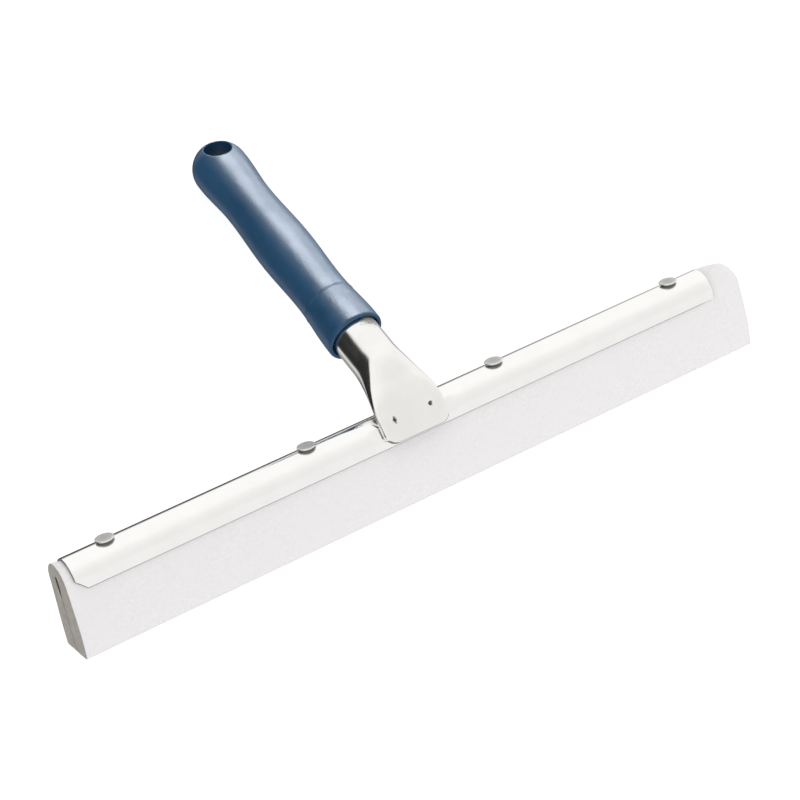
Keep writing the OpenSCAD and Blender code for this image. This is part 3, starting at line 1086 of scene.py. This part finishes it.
GRIP_SIDES = 96
LIP_R, LIP_LEN = 12.9, 1.4  # the front lip, rounded a little more tightly than in the CAD
RIM_ROUND = 1.0  # rounding of the hanging hole's two rims

# Rows of points on the lip and on the dome's tip, by distance from the grip's front.
LIP_ROWS = (0.0, 0.02, 0.07, 0.16, 0.32, 0.6, 1.0, 1.4, 2.2, 3.0)
TIP_ROWS = (131.4, 131.9, 132.3, 132.6, 132.78)

# The parting line, as how far along the grip each row is and how deep it is cut.
PARTING_ROWS = ((-0.4, 0.0), (-0.18, -0.14), (0.1, -0.14), (0.28, 0.08), (0.45, 0.08), (0.6, 0.0))

# The square patch that is left open round the hanging hole, in sides and in millimetres.
PATCH_HALF = 12
PATCH_LOW, PATCH_HIGH = 113.5, 130.9
PATCH_STEPS = 16


def grip_radius(s):
    """Outside radius of the grip at distance s from its front."""
    if s < GRIP_KEYS[0][0]:
        u = max(0.0, 1 - s / LIP_LEN)
        return LIP_R + (GRIP_KEYS[0][1] - LIP_R) * sqrt(1 - u * u)
    for (s0, r0), (s1, r1) in zip(GRIP_KEYS, GRIP_KEYS[1:]):
        if s <= s1:
            return r0 + (r1 - r0) * (1 - cos(pi * (s - s0) / (s1 - s0))) / 2
    if s <= GRIP_LEN:
        return DOME_R
    return sqrt(max(0.0, DOME_R**2 - (s - GRIP_LEN) ** 2))


def grip_height(x, s):
    """Height of the grip's surface above its middle plane."""
    return sqrt(max(0.0, grip_radius(s) ** 2 - x * x))


def grip_profile():
    """[s, radius] from the bottom of the bore, out over the front lip, and on to the hole's patch."""
    bore = [(BORE_LEN, 0.0), (BORE_LEN, BORE_R - 0.6), (BORE_LEN - 0.6, BORE_R)]
    bore += [(s, BORE_R) for s in np.linspace(BORE_LEN - 3, MOUTH_LEN + 0.6, 20)]
    mouth = fillet((BORE_R, MOUTH_LEN), (BORE_R, MOUTH_LEN + 0.5), (BORE_R + 0.2, MOUTH_LEN - 0.5))
    lip = fillet((MOUTH_R, 0), (MOUTH_R - 0.15, 0.35), (MOUTH_R + 0.3, 0))
    bore += [(s, r) for r, s in mouth + lip]
    front = [(s, grip_radius(s)) for s in LIP_ROWS]
    front += [(s, grip_radius(s)) for s in np.arange(4.0, PARTING_S - 0.9, 1.0)]
    front += [(PARTING_S + ds, grip_radius(PARTING_S + ds) - cut) for ds, cut in PARTING_ROWS]
    body = [(s, grip_radius(s)) for s in np.arange(PARTING_S + 1.5, PATCH_LOW, 1.0)]
    return bore + front + body


def patch_loop(rows):
    """Grid positions (row, side) round the square that the hanging hole's patch fills."""
    low, high = GRIP_SIDES // 4 - PATCH_HALF, GRIP_SIDES // 4 + PATCH_HALF
    first, last = rows[0], rows[-1]
    loop = [(first, a) for a in range(low, high)]
    loop += [(r, high) for r in rows[:-1]]
    loop += [(last, a) for a in range(high, low, -1)]
    loop += [(r, low) for r in reversed(rows[1:])]
    return loop


def hole_rings(loop_points):
    """Rings of [x, height, s] from the patch's edge to the hole, over its rounded rim, to the middle."""
    centre = GRIP_LEN + HANG_OFFSET
    outer_r = HANG_R + RIM_ROUND
    rings = []
    angles = [atan2(s - centre, x) for x, _, s in loop_points]
    for t in (0.25, 0.5, 0.75, 0.9, 1.0):
        ring = []
        for (x0, _, s0), angle in zip(loop_points, angles):
            x = x0 + (outer_r * cos(angle) - x0) * t
            s = s0 + (centre + outer_r * sin(angle) - s0) * t
            ring.append((x, grip_height(x, s), s))
        rings.append(ring)
    profiles = []
    for angle in angles:
        cx, cs = cos(angle), sin(angle)
        high = grip_height(outer_r * cx, centre + outer_r * cs)
        edge = grip_height(HANG_R * cx, centre + HANG_R * cs)
        curve = fillet((HANG_R, edge), (outer_r, high), (HANG_R, edge - RIM_ROUND), 6)[1:]
        wall = [(HANG_R, h) for h in np.linspace(edge - RIM_ROUND, 0, 7)[1:]]
        profiles.append([(r * cx, h, centre + r * cs) for r, h in curve + wall])
    rings += [list(ring) for ring in zip(*profiles)]
    return rings


def turn_grip(profile, rows):
    """The profile turned about Z, with the two patches round the hanging hole left open.

    Gives the points, the faces, and a function that finds the point at a row and side.
    """
    points, faces = [], []
    index = {}

    def vertex(row, side):
        s, r = profile[row]
        side = side % GRIP_SIDES
        key = (row, side if r else 0)
        if key not in index:
            index[key] = len(points)
            angle = 2 * pi * side / GRIP_SIDES
            points.append((r * cos(angle), r * sin(angle), s))
        return index[key]

    def in_patch(row, side):
        offset = side % (GRIP_SIDES // 2) - (GRIP_SIDES // 4 - PATCH_HALF)
        return rows[0] <= row < rows[-1] and 0 <= offset < 2 * PATCH_HALF

    for row in range(len(profile) - 1):
        for side in range(GRIP_SIDES):
            if in_patch(row, side):
                continue
            near = [vertex(row, side), vertex(row, side + 1)]
            far = [vertex(row + 1, side + 1), vertex(row + 1, side)]
            faces.append(list(dict.fromkeys(near + far)))
    return points, faces, vertex


def cut_hanging_hole(points, faces, top, bottom):
    """Fills the patches, whose edges are top and bottom, down to one hole that goes right through.

    The rings from the two sides meet in one ring at the middle.
    """
    rings = hole_rings([points[i] for i in top])
    middle = None
    for start, sign in ((top, 1), (bottom, -1)):
        before = start
        for number, ring in enumerate(rings):
            last = number == len(rings) - 1
            if last and middle:
                here = middle
            else:
                here = list(range(len(points), len(points) + len(ring)))
                points += [(x, sign * h, s) for x, h, s in ring]
            for k in range(len(ring)):
                n = (k + 1) % len(ring)
                faces.append([before[k], before[n], here[n], here[k]])
            before = here
        middle = before


def add_grip(material):
    profile = grip_profile()
    first_row = len(profile)
    rows = list(range(first_row, first_row + PATCH_STEPS + 1))
    profile += [(s, grip_radius(s)) for s in np.linspace(PATCH_LOW, PATCH_HIGH, PATCH_STEPS + 1)]
    profile += [(s, grip_radius(s)) for s in TIP_ROWS]
    profile += [(GRIP_LEN + DOME_R, 0.0)]
    points, faces, vertex = turn_grip(profile, rows)
    loop = patch_loop(rows)
    top = [vertex(row, side) for row, side in loop]
    bottom = [vertex(row, -side) for row, side in loop]
    cut_hanging_hole(points, faces, top, bottom)
    grip = make_object("grip_moulded", points, faces, [material])
    lay_in_place(grip, LAY_HANDLE)
    finish_piece(grip, "grip")
    return grip


# ---- Scene ----


def cover_strip(material):
    """Gives the clamp strip, which keeps its CAD shape, its material."""
    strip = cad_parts["clamp_strip"]
    strip.data.materials.clear()
    strip.data.materials.append(material)


def main():
    bpy.context.scene.view_settings.view_transform = "Standard"
    add_camera()
    add_world()
    add_floor()
    gloss_lamps = add_lamps()
    cut = cut_edge_and_shade()
    rivet_material = rivet_steel()
    add_rail(rail_steel(), cut)
    add_blade(foam_skin(), foam_cut(), foam_slit())
    for number in range(1, RIVET_COUNT + 1):
        add_rivet(number, rivet_material)
    add_handle_tube(tube_steel(), cut)
    grip = add_grip(grip_plastic())
    for lamp in gloss_lamps:
        light_only(lamp, grip)
    cover_strip(strip_steel())


main()
